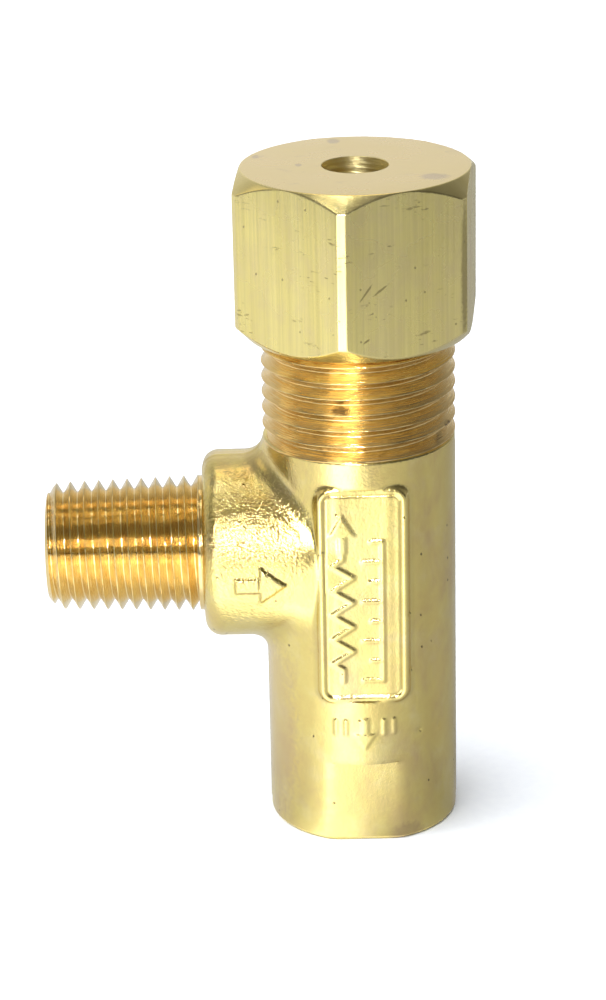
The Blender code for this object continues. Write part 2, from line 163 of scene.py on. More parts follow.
def rounded(profile, radius, steps=3):
    """The profile with each inner corner cut back by radius and curved."""
    made = [profile[0]]
    for before, corner, after in zip(profile, profile[1:], profile[2:]):
        a, b, c = (np.array(p, float) for p in (before, corner, after))
        cut = min(radius, np.linalg.norm(a - b) * 0.45, np.linalg.norm(c - b) * 0.45)
        start = b + (a - b) / np.linalg.norm(a - b) * cut
        end = b + (c - b) / np.linalg.norm(c - b) * cut
        for t in np.linspace(0, 1, steps + 1):
            made.append(tuple((1 - t) ** 2 * start + 2 * t * (1 - t) * b + t * t * end))
    made.append(profile[-1])
    return made


def join(obj, other, operation):
    """A boolean that is applied at once and uses up the other object."""
    modifier = obj.modifiers.new("join", "BOOLEAN")
    modifier.operation = operation
    modifier.solver = "MANIFOLD"
    modifier.object = other
    modifier.material_mode = "TRANSFER"
    graph = bpy.context.evaluated_depsgraph_get()
    joined = bpy.data.meshes.new_from_object(obj.evaluated_get(graph))
    old = obj.data
    obj.modifiers.remove(modifier)
    obj.data = joined
    joined.name = obj.name
    bpy.data.meshes.remove(old)
    bpy.data.objects.remove(other, do_unlink=True)
    return obj


def lay_to_inlet(obj):
    """Turns a shape made along +Z to lie along -X at the inlet's height."""
    turn = Matrix.Translation((0, 0, INLET_HEIGHT * MM)) @ Matrix.Rotation(-math.pi / 2, 4, "Y")
    obj.data.transform(turn)
    return obj


def settle(obj, body, slot, *nodes, sharp=35):
    """Moves a finished piece onto the frame's axis and hands it to its body."""
    obj.data.transform(Matrix.Translation((AXIS_X, 0, 0)))
    obj.data.shade_smooth()
    obj.data.set_sharp_from_angle(angle=math.radians(sharp))
    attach(obj, body)
    if nodes:
        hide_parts(*nodes)


def helical_rod(name, pitch, crest_at, low, high, crest_radius, profile, material):
    """A threaded rod. The profile is (share of the pitch, depth below the crest).

    A crest passes crest_at on the +X side.
    """
    per_turn = THREAD_STEPS
    start = crest_at + (math.floor((low - crest_at) / pitch) - 1.5) * pitch
    turns = math.ceil((high - start) / pitch) + 1
    steps = turns * per_turn
    share, depth = (np.array(row) for row in zip(*profile))
    step = np.arange(steps + 1)
    angle = 2 * math.pi * step / per_turn
    height = start + pitch * (step[:, None] / per_turn + share[None, :])
    radius = crest_radius(height) - depth[None, :]
    points = np.stack(
        [radius * np.cos(angle)[:, None], radius * np.sin(angle)[:, None], height], axis=-1
    )
    number = np.arange(points.shape[0] * points.shape[1]).reshape(points.shape[:2])
    faces = []
    for k in range(len(profile) - 1):
        faces += quads(number[:, k], number[:, k + 1])
    faces += quads(number[:-per_turn, -1], number[per_turn:, 0])
    foot = [*number[: per_turn + 1, 0], *number[0, ::-1][:-1]]
    head = [*number[-per_turn - 1 :, -1], *number[-1, ::-1][1:]]
    points = points.reshape(-1, 3)
    centres = [(0, 0, points[foot, 2].mean()), (0, 0, points[head, 2].mean())]
    for loop, centre, flip in ((foot, len(points), True), (head, len(points) + 1, False)):
        for a, b in zip(loop, [*loop[1:], loop[0]]):
            faces.append((int(b), int(a), centre) if flip else (int(a), int(b), centre))
    return new_object(name, np.vstack([points, centres]), faces, material)


# ---- fields of distance
def smooth_min(a, b, reach):
    """The lesser of two fields, blended where they differ by less than reach."""
    share = np.maximum(reach - np.abs(a - b), 0) / np.maximum(reach, 1e-6)
    return np.minimum(a, b) - share * share * reach / 4


def smooth_max(a, b, reach):
    return -smooth_min(-a, -b, reach)


def round_max(a, b, radius):
    """The overlap of two fields with a round edge of this radius."""
    corner = np.hypot(np.maximum(a + radius, 0), np.maximum(b + radius, 0))
    return np.minimum(np.maximum(a + radius, b + radius), 0) + corner - radius


def step_down(distance, width):
    """1 inside a flat figure and 0 outside it, with a soft edge of this width."""
    t = np.clip(0.5 - distance / width, 0, 1)
    return t * t * (3 - 2 * t)


def segment_distance(u, v, start, end):
    """Distance to the straight line between two points."""
    along = np.array(end, float) - start
    t = np.clip(((u - start[0]) * along[0] + (v - start[1]) * along[1]) / (along @ along), 0, 1)
    return np.hypot(u - start[0] - t * along[0], v - start[1] - t * along[1])


def line_distance(u, v, points, half_width):
    """Distance to a drawn line through the points."""
    nearest = np.full(u.shape, 1e3)
    for start, end in zip(points, points[1:]):
        nearest = np.minimum(nearest, segment_distance(u, v, start, end))
    return nearest - half_width


def arrow_distance(u, v, length, head, half_head, half_shaft):
    """Distance to a block arrow from u = 0 to u = length, its middle at v = 0."""
    v = np.abs(v)
    shaft = np.maximum(np.maximum(-u, u - (length - head)), v - half_shaft)
    slope = half_head / head
    tip = (v - (length - u) * slope) / math.hypot(1, slope)
    return np.minimum(shaft, np.maximum(tip, length - head - u))


def panel_distance(x, z):
    """Distance to the panel's rounded outline, seen from the front."""
    corner = 0.7
    half_height = (PANEL_HIGH - PANEL_LOW) / 2
    dx = np.abs(x) - PANEL_HALF_WIDTH + corner
    dz = np.abs(z - (PANEL_HIGH + PANEL_LOW) / 2) - half_height + corner
    outside = np.hypot(np.maximum(dx, 0), np.maximum(dz, 0))
    return outside + np.minimum(np.maximum(dx, dz), 0) - corner


def panel_marks(x, z):
    """Plain raised marks on the panel: a spring's zigzag, an arrow and a row of ticks."""
    low, high = PANEL_LOW + 1.6, PANEL_HIGH - 1.6
    left, swing, lead, bends = -2.0, 1.0, 1.2, 9
    top = high - 5.0
    rise = (top - low - lead) / bends
    zigzag = [(left, low), (left, low + lead)]
    for k in range(bends):
        side = swing if k % 2 else -swing
        zigzag.append((left + side, low + lead + rise * (k + 0.5)))
    zigzag += [(left, top), (left, high - 4.2)]
    marks = line_distance(x, z, zigzag, 0.24)
    marks = np.minimum(marks, arrow_distance(z - high + 4.4, x - left, 4.0, 2.2, 1.3, 0.4))
    spine, spine_top, ticks = 1.9, high - 3.2, 8
    marks = np.minimum(marks, line_distance(x, z, [(spine, low), (spine, spine_top)], 0.2))
    for k in range(ticks):
        height = low + (spine_top - low) * k / (ticks - 1)
        reach = 1.9 if k % 2 == 0 else 1.1
        tick = line_distance(x, z, [(spine - reach, height), (spine, height)], 0.2)
        marks = np.minimum(marks, tick)
    return marks


def foot_marks(x, z):
    """A small arrow that points down to the port, between two pairs of bars."""
    marks = arrow_distance(13.6 - z, x, 3.4, 1.7, 1.1, 0.35)
    for k in (-1, 1):
        for place in (1.9, 2.9):
            bar = line_distance(x, z, [(k * place, 11.9), (k * place, 13.3)], 0.2)
            marks = np.minimum(marks, bar)
    return marks


# How far each raised thing stands out of the forging, mm.
PANEL_MARK_RISE = 0.12
FOOT_MARK_RISE = 0.1
BOSS_ARROW_RISE = 0.28
BEAD_RISE = 0.12
PARTING_RISE = 0.05

# Small dents in the forging's front: x from the axis, height, radius and depth, mm.
PITS = [
    (5.37, 11.5, 0.2, 0.16), (7.35, 11.1, 0.16, 0.2), (-5.3, 20.2, 0.12, 0.12),
    (4.5, 24.5, 0.12, 0.14), (4.6, 18.4, 0.16, 0.16), (6.6, 30.4, 0.1, 0.1),
    (-6.9, 9.6, 0.12, 0.1), (4.2, 1.5, 0.35, 0.06), (6.2, 33.5, 0.12, 0.1),
]


def forging(p):
    """The forging's field: below 0 inside. It has no threads and no bores yet."""
    x, y, z = p[..., 0], p[..., 1], p[..., 2]
    r = np.hypot(x, y)
    barrel = round_max(r - BARREL_RADIUS, z - BARREL_TOP, 0.25)
    barrel = smooth_max(barrel, -z, 0.5)
    across = np.hypot(y, z - INLET_HEIGHT)
    boss = round_max(across - BOSS_RADIUS, -x - BOSS_FACE, BOSS_ROUND)
    boss = np.maximum(boss, x)
    # The fillet fades out where the two round faces run into each other at the front.
    facing = y * y / np.maximum(r * across, 1e-6)
    field = smooth_min(barrel, boss, 0.14 + 2.5 * np.clip(1 - facing, 0, 1))
    front = y + PANEL_OFFSET - PANEL_DISH * np.clip(1 - (x / PANEL_HALF_WIDTH) ** 2, 0, 1)
    outline = panel_distance(x, z)
    field = smooth_max(field, -np.maximum(front, outline - PANEL_BEAD), 0.1)
    sides = (outline - PANEL_BEAD - PANEL_DRAFT * front) / math.hypot(1, PANEL_DRAFT)
    slab = np.maximum(smooth_max(-front, sides, 0.15), y + 6)
    field = smooth_min(field, slab, 0.3)
    bead = np.clip(1 - ((outline - PANEL_BEAD / 2 - 0.02) / (PANEL_BEAD / 2)) ** 2, 0, 1)
    groove = np.exp(-((outline / 0.09) ** 2))
    on_front = (y < -7) & (y > -10.5)
    field = field - np.where(on_front, BEAD_RISE * bead - 0.07 * groove, 0)
    flats = np.maximum(FLAT_OFFSET - np.abs(y), z - FLAT_HEIGHT)
    field = smooth_max(field, -flats, 0.25)
    at_front = y < 0
    for rise, marks, soft in (
        (PANEL_MARK_RISE, panel_marks(x, z), 0.3),
        (FOOT_MARK_RISE, foot_marks(x, z), 0.3),
        (BOSS_ARROW_RISE, arrow_distance(x + 12.4, z - 27.9, 4.9, 2.5, 1.9, 0.75), 0.4),
    ):
        field = field - rise * np.where(at_front, step_down(marks, soft), 0)
    parting = np.exp(-((y / 0.22) ** 2)) * np.clip((r - 8.0) / 1.0, 0, 1)
    field = field - PARTING_RISE * parting * ((z > 1) & (z < BARREL_TOP - 1))
    for px, pz, radius, depth in PITS:
        away = ((x - px) ** 2 + (z - pz) ** 2) / radius**2
        field = field + np.where(at_front, depth * np.exp(-away), 0)
    return field


def wrap_field(name, field, low, high, pitch, material, fine):
    """A closed mesh round a field's zero, with its points drawn onto the field.

    Faces whose middle fine(points) accepts are divided once more.
    """
    axes = [np.arange(a, b + pitch, pitch) for a, b in zip(low, high)]
    grid = np.stack(np.meshgrid(*axes, indexing="ij"), axis=-1)
    inside = field(grid) < 0
    # A cell of the grid is crossed where some of its eight corners are inside, but not all.
    most_x, most_y, most_z = (size - 1 for size in inside.shape)
    count = np.zeros((most_x, most_y, most_z), np.int8)
    for i in (0, 1):
        for j in (0, 1):
            for k in (0, 1):
                count += inside[i : most_x + i, j : most_y + j, k : most_z + k]
    crossed = (count > 0) & (count < 8)
    number = np.full(crossed.shape, -1)
    number[crossed] = np.arange(crossed.sum())
    points = grid[:-1, :-1, :-1][crossed] + pitch / 2
    faces = []
    for axis in range(3):
        first = np.moveaxis(inside, axis, 0)
        cells = np.moveaxis(number, axis, 0)
        change = first[:-1, 1:-1, 1:-1] != first[1:, 1:-1, 1:-1]
        leaving = first[:-1, 1:-1, 1:-1][change]
        corners = [
            cells[:, a : cells.shape[1] - 1 + a, b : cells.shape[2] - 1 + b][change]
            for a, b in ((0, 0), (1, 0), (1, 1), (0, 1))
        ]
        ring = np.stack(corners, axis=-1)
        flip = leaving if axis == 1 else ~leaving
        ring[flip] = ring[flip][:, ::-1]
        faces.append(ring)
    points = draw_onto(field, points, pitch)
    obj = new_object(name, points, np.vstack(faces).tolist(), material)
    divide(obj, fine)
    put_points(obj, draw_onto(field, points_of(obj), pitch / 2))
    return obj


def points_of(obj):
    points = np.empty(len(obj.data.vertices) * 3)
    obj.data.vertices.foreach_get("co", points)
    return points.reshape(-1, 3) / MM


def put_points(obj, points):
    obj.data.vertices.foreach_set("co", (points * MM).ravel())
    obj.data.update()


def gradient(field, points):
    reach = 0.01
    slopes = []
    for axis in range(3):
        side = np.zeros(3)
        side[axis] = reach
        slopes.append((field(points + side) - field(points - side)) / (2 * reach))
    return np.stack(slopes, axis=-1)


def draw_onto(field, points, most):
    """Moves points along the field's slope until they lie on its zero."""
    for _ in range(6):
        value = field(points)
        slope = gradient(field, points)
        step = slope * (value / np.maximum((slope**2).sum(-1), 0.05))[:, None]
        length = np.linalg.norm(step, axis=-1, keepdims=True)
        points = points - step * np.minimum(1, most / np.maximum(length, 1e-9))
    return points


def divide(obj, wanted):
    """Cuts each face that wanted(middles) accepts into four."""
    bm = bmesh.new()
    bm.from_mesh(obj.data)
    middles = np.array([f.calc_center_median() for f in bm.faces]) / MM
    keep = wanted(middles)
    edges = {e for f, k in zip(bm.faces, keep) if k for e in f.edges}
    bmesh.ops.subdivide_edges(bm, edges=list(edges), cuts=1, use_grid_fill=True)
    bm.to_mesh(obj.data)
    bm.free()


def near_front_detail(p):
    """Faces close to the panel, the marks and the rims, which need finer faces."""
    x, y, z = p.T
    panel = (y < -7.4) & (abs(x) < 5.2) & (z > 14.8) & (z < 38.2)
    arrow = (y < -7.5) & (x > -12.8) & (x < -6.9) & (abs(z - 28.4) < 2.3)
    marks = (y < -8.2) & (abs(x) < 3.4) & (z > 9.8) & (z < 14.0)
    rims = (np.hypot(x, y) > 8.4) & ((z < 1.0) | (z > BARREL_TOP - 0.8))
    return panel | arrow | marks | rims


# ---- materials
class Tree:
    """Short names for adding nodes to a node tree."""

    def __init__(self, tree):
        self.tree = tree

    def link(self, source, target):
        self.tree.links.new(source, target)

    def feed(self, socket, value):
        """Links a socket to another, or sets it to a number, a vector or a colour."""
        if isinstance(value, bpy.types.NodeSocket):
            self.link(value, socket)
        else:
            socket.default_value = (*value, 1.0) if socket.type == "RGBA" else value

    def add(self, kind, inputs=None, **settings):
        """A node with its settings, and with some of its inputs fed."""
        node = self.tree.nodes.new(kind)
        for key, value in settings.items():
            setattr(node, key, value)
        for key, value in (inputs or {}).items():
            self.feed(node.inputs[key], value)
        return node

    def maths(self, operation, *values):
        return self.add("ShaderNodeMath", dict(enumerate(values)), operation=operation).outputs[0]

    def times(self, a, b):
        return self.maths("MULTIPLY", a, b)

    def plus(self, a, b):
        return self.maths("ADD", a, b)

    def minus(self, a, b):
        return self.maths("SUBTRACT", a, b)

    def ramp(self, factor, stops):
        """Grey values, or colours, at places from 0 to 1."""
        node = self.add("ShaderNodeValToRGB", {"Fac": factor})
        line = node.color_ramp
        for _ in range(len(stops) - 2):
            line.elements.new(0.5)
        for element, (place, value) in zip(line.elements, sorted(stops)):
            element.position = place
            colour = (value,) * 3 if isinstance(value, (int, float)) else value
            element.color = (*colour, 1.0)
        return node.outputs["Color"]

    def between(self, factor, low, high):
        """From one grey or colour to another over the middle of a noise's range."""
        return self.ramp(factor, [(0.3, low), (0.7, high)])


class Nodes(Tree):
    """A Principled material, placed by the valve's own coordinates."""

    def __init__(self, name, **values):
        self.material = bpy.data.materials.new(name)
        self.material.use_nodes = True
        super().__init__(self.material.node_tree)
        self.shader = self.tree.nodes["Principled BSDF"]
        for key, value in values.items():
            self.shader.inputs[key.replace("_", " ")].default_value = value
        self.place = self.add("ShaderNodeTexCoord").outputs["Object"]

    def mapped(self, vector, scale=(1, 1, 1), turn=(0, 0, 0), offset=(0, 0, 0)):
        """Coordinates scaled, then turned, then moved."""
        inputs = {"Vector": vector, "Scale": scale, "Rotation": turn, "Location": offset}
        return self.add("ShaderNodeMapping", inputs).outputs["Vector"]

    def stretched(self, scale, turn=(0, 0, 0)):
        return self.mapped(self.place, scale, turn)

    def rings(self, around, along, flat="XY", centre=(AXIS_X, 0, 0)):
        """Coordinates that run round an axis: angle, radius and height along it.

        flat names the two directions square to the axis.
        """
        place = self.mapped(self.place, offset=tuple(-c for c in centre))
        split = self.add("ShaderNodeSeparateXYZ", {0: place})
        first, second = (split.outputs[letter] for letter in flat)
        third = split.outputs[next(letter for letter in "XYZ" if letter not in flat)]
        angle = self.maths("ARCTAN2", second, first)
        squares = self.plus(self.times(first, first), self.times(second, second))
        radius = self.maths("SQRT", squares)
        merged = [self.times(angle, around), self.times(radius, along), self.times(third, along)]
        return self.add("ShaderNodeCombineXYZ", dict(enumerate(merged))).outputs[0]

    def ragged(self, vector, scale, detail, wander, stops):
        """Values by how far a vector is from 0, give or take a ragged edge."""
        length = self.add("ShaderNodeVectorMath", {0: vector}, operation="LENGTH")
        wave = self.times(self.noise(self.place, scale, detail, 0.6), 2 * wander)
        wave = self.minus(wave, wander)
        return self.ramp(self.plus(length.outputs["Value"], wave), stops)

    def patch(self, place, size, wander=0.35):
        """1 close to a place on the valve and 0 beyond size, both in mm."""
        scale = tuple(1 / (length * MM) for length in size)
        x, y, z = place
        offset = (-(x * MM + AXIS_X) * scale[0], -y * MM * scale[1], -z * MM * scale[2])
        vector = self.mapped(self.place, scale, offset=offset)
        return self.ragged(vector, 2200, 3, wander, [(0.55, 1.0), (0.95, 0.0)])

    def stroke(self, place, length, width, slope):
        """A thin line on the front, its middle at a place and its slope in degrees."""
        x, y, z = (-c * MM for c in place)
        vector = self.mapped(self.place, offset=(x - AXIS_X, y, z))
        vector = self.mapped(vector, turn=(0, math.radians(slope), 0))
        vector = self.mapped(vector, (2 / length / MM, 1 / MM, 2 / width / MM))
        return self.ragged(vector, 3000, 2, 0.45, [(0.6, 1.0), (0.95, 0.0)])

    def noise(self, vector, scale, detail, rough, distortion=0.0):
        inputs = {"Vector": vector, "Scale": scale, "Detail": detail, "Roughness": rough}
        return self.add("ShaderNodeTexNoise", {**inputs, "Distortion": distortion}).outputs["Fac"]

    def spots(self, scale, size, soft):
        """Round specks: 1 in the middle of a few cells and 0 elsewhere."""
        node = self.add("ShaderNodeTexVoronoi", {"Vector": self.place, "Scale": scale})
        return self.ramp(node.outputs["Distance"], [(size, 1.0), (size + soft, 0.0)])

    def mix(self, factor, a, b, how="MIX"):
        node = self.add("ShaderNodeMix", data_type="RGBA", blend_type=how)
        colours = (socket for socket in node.inputs if socket.type == "RGBA")
        for socket, value in zip((node.inputs["Factor"], *colours), (factor, a, b)):
            self.feed(socket, value)
        return next(socket for socket in node.outputs if socket.type == "RGBA")

    def bump(self, height, distance, strength, before=None):
        inputs = {"Strength": strength, "Distance": distance, "Height": height}
        node = self.add("ShaderNodeBump", inputs)
        if before:
            self.link(before, node.inputs["Normal"])
        return node.outputs["Normal"]

    def finish(self, colour, rough, normal):
        for source, key in ((colour, "Base Color"), (rough, "Roughness"), (normal, "Normal")):
            if source:
                self.link(source, self.shader.inputs[key])
        return self.material


def forged_brass():
    """Bright tumbled brass: fine grain, soft patches and a few small pits."""
    n = Nodes("forged_brass", Metallic=1.0)
    patches = n.noise(n.place, 260, 4, 0.6)
    tarnish = n.noise(n.stretched((210, 210, 120)), 1.0, 4, 0.65, 0.4)
    grain = n.noise(n.place, 3600, 3, 0.7, 0.6)
    fleck = n.noise(n.stretched((2000, 2000, 1100), (0.5, 0.3, 0.2)), 1.0, 2, 0.6, 1.2)
    flow = n.noise(n.stretched((500, 500, 160)), 1.0, 3, 0.6)
    pits = n.spots(420, 0.035, 0.03)
    gold = (0.79, 0.655, 0.24)
    colour = n.ramp(patches, [(0.3, (0.76, 0.6, 0.22)), (0.52, gold), (0.75, (0.82, 0.7, 0.33))])
    dull = n.ramp(tarnish, [(0.46, 0.0), (0.7, 0.6)])
    colour = n.mix(dull, colour, (0.62, 0.45, 0.24))
    colour = n.mix(n.times(pits, 0.8), colour, (0.16, 0.11, 0.04))
    worn = n.patch((4.2, -8.5, 0.6), (2.2, 2.5, 1.3))
    colour = n.mix(n.times(worn, 0.5), colour, (0.42, 0.3, 0.18))
    brown = n.times(n.patch((-8.5, -3.5, 11), (3.5, 5, 12), 0.6), 0.4)
    colour = n.mix(brown, colour, (0.6, 0.45, 0.28))
    rough = n.between(flow, 0.14, 0.25)
    low = n.bump(flow, 0.00006, 0.6)
    tumbled = n.patch((-12, -7, 31), (7, 8, 8))
    rough = n.minus(rough, n.times(tumbled, 0.05))
    coarse = n.plus(n.times(tumbled, 0.75), 0.25)
    mid = n.bump(n.times(fleck, coarse), 0.00005, 1.0, low)
    grain = n.minus(n.times(grain, coarse), n.times(pits, 0.5))
    normal = n.bump(grain, 0.00007, 1.0, mid)
    return n.finish(colour, rough, normal)


# Dark patches where the real thread has nicks: painted shade of the dents. Place from the axis and
# size, mm.
THREAD_NICK_SHADE = [((-2.0, -9.1, 45.7), (1.2, 1.2, 0.6)), ((8.5, -3.9, 41.9), (1.1, 1.4, 0.8))]
# The darker and the lighter shade of each thread.
CUT_BRASS = ((0.84, 0.6, 0.25), (0.88, 0.67, 0.31))
# The inlet thread is the same cut brass as the long one, made paler here: painted light for its
# brighter look.
INLET_BRASS_PAINTED_LIGHT = ((0.82, 0.62, 0.28), (0.87, 0.7, 0.35))


def machined_brass(name, shades=CUT_BRASS, flat="XY", centre=(AXIS_X, 0, 0)):
    """Cut threads and bores: more golden, with faint rings from the tool."""
    n = Nodes(name, Metallic=1.0)
    rings = n.noise(n.rings(0.4, 7000, flat, centre), 1.0, 2, 0.6)
    patches = n.noise(n.place, 420, 3, 0.6)
    specks = n.spots(900, 0.05, 0.04)
    colour = n.between(patches, *shades)
    colour = n.mix(n.times(specks, 0.6), colour, (0.4, 0.2, 0.08))
    rough = n.between(patches, 0.07, 0.12)
    # Painted shade: each nick is darkened in colour, not cut into the thread.
    for place, size in THREAD_NICK_SHADE:
        colour = n.mix(n.times(n.patch(place, size), 0.85), colour, (0.12, 0.08, 0.05))
    return n.finish(colour, rough, n.bump(rings, 0.00008, 1.0))


# Scratches on the cap's flats: middle from the axis, length and width in mm, slope in degrees.
CAP_SCRATCHES = [
    ((2.1, -11.6, 58.25), 2.7, 0.3, 34),
    ((0.6, -11.8, 58.1), 2.6, 0.24, 53),
    ((0.6, -11.9, 53.4), 0.9, 0.26, 30),
]


def drawn_brass():
    """The cap's flats: olive bar stock with lengthwise streaks and small scratches."""
    n = Nodes("drawn_brass", Metallic=1.0)
    fine = n.noise(n.stretched((3600, 3600, 34)), 1.0, 3, 0.7)
    broad = n.noise(n.stretched((420, 420, 24)), 1.0, 3, 0.6)
    patches = n.noise(n.place, 190, 3, 0.6)
    mottle = n.noise(n.stretched((520, 520, 300)), 1.0, 4, 0.65)
    where = n.noise(n.place, 330, 2, 0.5)
    cuts = n.noise(n.stretched((700, 700, 4200), (0.7, 0.5, 0.9)), 1.0, 2, 0.6, 0.4)
    scratch = n.ramp(cuts, [(0.35, 1.0), (0.37, 0.0)])
    scratch = n.times(scratch, n.ramp(where, [(0.58, 0.0), (0.64, 1.0)]))
    pits = n.spots(650, 0.05, 0.04)
    marks = n.maths("MAXIMUM", scratch, pits)
    base = n.between(broad, (0.78, 0.67, 0.25), (0.84, 0.735, 0.31))
    streak = n.ramp(fine, [(0.35, 0.92), (0.65, 1.05)])
    colour = n.mix(1.0, base, streak, "MULTIPLY")
    mottle = n.ramp(mottle, [(0.42, 0.0), (0.74, 0.45)])
    colour = n.mix(mottle, colour, (0.7, 0.57, 0.33))
    colour = n.mix(n.times(marks, 0.6), colour, (0.28, 0.22, 0.1))
    dark = (0.2, 0.15, 0.06)
    for line in CAP_SCRATCHES:
        colour = n.mix(n.times(n.stroke(*line), 0.65), colour, dark)
    # A dark strip down the full height of the hexagon's right front corner: painted shade.
    corner = n.patch((10.0, -7.7, 58.9), (0.55, 0.7, 9.0))
    colour = n.mix(n.times(corner, 0.55), colour, dark)
    rough = n.between(patches, 0.22, 0.32)
    height = n.minus(fine, n.times(marks, 1.5))
    normal = n.bump(height, 0.000014, 0.9, n.bump(broad, 0.00004, 0.4))
    return n.finish(colour, rough, normal)


# Stains on the cap's top: place from the axis and size, mm.
TOP_STAINS = [
    ((7.3, -5.0), (1.7, 1.4)),
    ((-1.9, 9.2), (0.8, 1.2)),
    ((-5.4, 0.3), (0.4, 0.7)),
    ((-9.5, 3.7), (0.5, 0.8)),
]


def turned_brass():
    """The cap's top: turned, pinkish tan, with faint rings, stains and small dents."""
    n = Nodes("turned_brass", Metallic=1.0)
    rings = n.noise(n.rings(0.15, 5200), 1.0, 2, 0.6)
    patches = n.noise(n.place, 240, 4, 0.6)
    stain = n.noise(n.place, 420, 3, 0.6, 0.6)
    dark = n.times(n.ramp(stain, [(0.6, 0.0), (0.74, 1.0)]), 0.5)
    for place, size in TOP_STAINS:
        dark = n.maths("MAXIMUM", dark, n.patch((*place, CAP_HIGH), (*size, 1.0)))
    colour = n.between(patches, (0.77, 0.62, 0.3), (0.83, 0.7, 0.37))
    colour = n.mix(n.times(dark, 0.5), colour, (0.42, 0.35, 0.3))
    rough = n.between(patches, 0.24, 0.36)
    height = n.minus(rings, n.times(dark, 0.8))
    return n.finish(colour, rough, n.bump(height, 0.00001, 0.5))


def drilled_brass():
    """The cap's drilled hole: rough rings that scatter the light, in a brass paler than the other
    cut faces, which is painted light for the hole's bright inside.
    """
    n = Nodes("drilled_brass", Metallic=1.0)
    rings = n.noise(n.rings(0.6, 3800), 1.0, 3, 0.6)
    # Paler than the other cut brass: painted light.
    colour = n.between(rings, (0.84, 0.69, 0.3), (0.92, 0.81, 0.44))
    rough = n.between(rings, 0.3, 0.42)
    return n.finish(colour, rough, n.bump(rings, 0.00012, 1.0))


def ringed_metal(name, dark, light, rough, along=5200, patch=500, depth=0.000006):
    """Turned metal with faint rings, and soft patches in its colour and its polish."""
    n = Nodes(name, Metallic=1.0)
    rings = n.noise(n.rings(0.15, along), 1.0, 2, 0.6)
    patches = n.noise(n.place, patch, 3, 0.6)
    colour = n.between(patches, dark, light)
    polish = n.between(patches, *rough)
    return n.finish(colour, polish, n.bump(rings, depth, 0.5))


def chamfer_brass():
    """The cap's turned chamfers: bright and golden."""
    dark, light = (0.8, 0.67, 0.27), (0.88, 0.76, 0.36)
    return ringed_metal("chamfer_brass", dark, light, (0.18, 0.3), 4200, 300, 0.00001)


def steel(name, colour, low, high):
    return ringed_metal(name, tuple(c * 0.88 for c in colour), colour, (low, high))


def seal_rubber():
    n = Nodes("seal_rubber")
    grain = n.noise(n.place, 2600, 3, 0.6)
    colour = n.between(grain, (0.012, 0.012, 0.013), (0.03, 0.03, 0.03))
    rough = n.between(grain, 0.5, 0.7)
    return n.finish(colour, rough, n.bump(grain, 0.00001, 0.4))


def white_plastic():
    n = Nodes("white_plastic")
    grain = n.noise(n.rings(0.3, 3400), 1.0, 2, 0.6)
    patches = n.noise(n.place, 700, 3, 0.6)
    colour = n.between(patches, (0.74, 0.72, 0.66), (0.83, 0.81, 0.76))
    rough = n.between(patches, 0.4, 0.55)
    return n.finish(colour, rough, n.bump(grain, 0.00001, 0.4))


# ---- body
CAP_THREAD = [
    (0.0, 0.96), (0.03, 0.953), (0.065, 0.89), (0.26, 0.47), (0.455, 0.045), (0.477, 0.01),
    (0.5, 0.0), (0.523, 0.01), (0.545, 0.045), (0.74, 0.47), (0.935, 0.89), (0.97, 0.953),
]
PIPE_THREAD = [
    (0.0, 1.05), (0.03, 1.04), (0.06, 0.98), (0.25, 0.54), (0.45, 0.07), (0.475, 0.015),
    (0.5, 0.0), (0.525, 0.015), (0.55, 0.07), (0.75, 0.54), (0.94, 0.98), (0.97, 1.04),
]


def pipe_crest(distance):
    """The inlet thread's crest radius this far from the axis."""
    return PIPE_GAUGE_RADIUS - (distance - PIPE_GAUGE) * PIPE_TAPER


def cap_crest(height):
    return np.full_like(height, CAP_THREAD_RADIUS)


def cap_thread_solid(material):
    """The long thread on top of the body, cut to length with a chamfered end."""
    rod = helical_rod(
        "cap_thread", CAP_PITCH, CAP_THREAD_START, THREAD_BASE, BODY_TOP, cap_crest,
        CAP_THREAD, material,
    )
    end = CAP_THREAD_RADIUS + 0.6
    profile = [
        (0.0, BODY_TOP), (CAP_THREAD_RADIUS - 1.1, BODY_TOP), (end, BODY_TOP - 1.7),
        (end, THREAD_BASE), (0.0, THREAD_BASE),
    ]
    return join(rod, turned("cap_thread_length", profile, material), "INTERSECT")


def pipe_thread_solid(material):
    """The inlet's tapered thread with the neck behind it."""
    rod = helical_rod(
        "pipe_thread", PIPE_PITCH, PIPE_CREST_AT, NECK_BASE, INLET_TIP, pipe_crest,
        PIPE_THREAD, material,
    )
    over = 7.6
    tip = [(0.1, INLET_TIP), (TIP_FACE_RADIUS, INLET_TIP), (over, INLET_TIP - 2.2)]
    profile = [(0.0, INLET_TIP), *rounded(tip, 0.15), (over, NECK_BASE), (0.0, NECK_BASE)]
    thread = join(rod, turned("pipe_thread_length", profile, material), "INTERSECT")
    edge = [(5.0, NECK_FACE), (NECK_RADIUS, NECK_FACE), (NECK_RADIUS, BOSS_FACE)]
    neck = [(0.0, NECK_FACE), *rounded(edge, 0.12), (NECK_RADIUS, NECK_BASE), (0.0, NECK_BASE)]
    return lay_to_inlet(join(thread, turned("neck", neck, material), "UNION"))


def port_thread_cutter(material):
    """The bypass port's inner thread, as the solid to take away."""
    depth = 9.8
    rod = helical_rod(
        "port_thread", PIPE_PITCH, 0.3, -1.0, depth, lambda h: 6.62 - h * PIPE_TAPER,
        PIPE_THREAD, material,
    )
    profile = [(0.0, depth), (5.4, depth), (7.2, depth - 1.6), (7.6, -1.0), (0.0, -1.0)]
    thread = join(rod, turned("port_thread_length", profile, material), "INTERSECT")
    mouth = [(0.0, 0.7), (5.9, 0.7), (7.5, -0.9), (0.0, -0.9)]
    return join(thread, turned("port_mouth", mouth, material), "UNION")


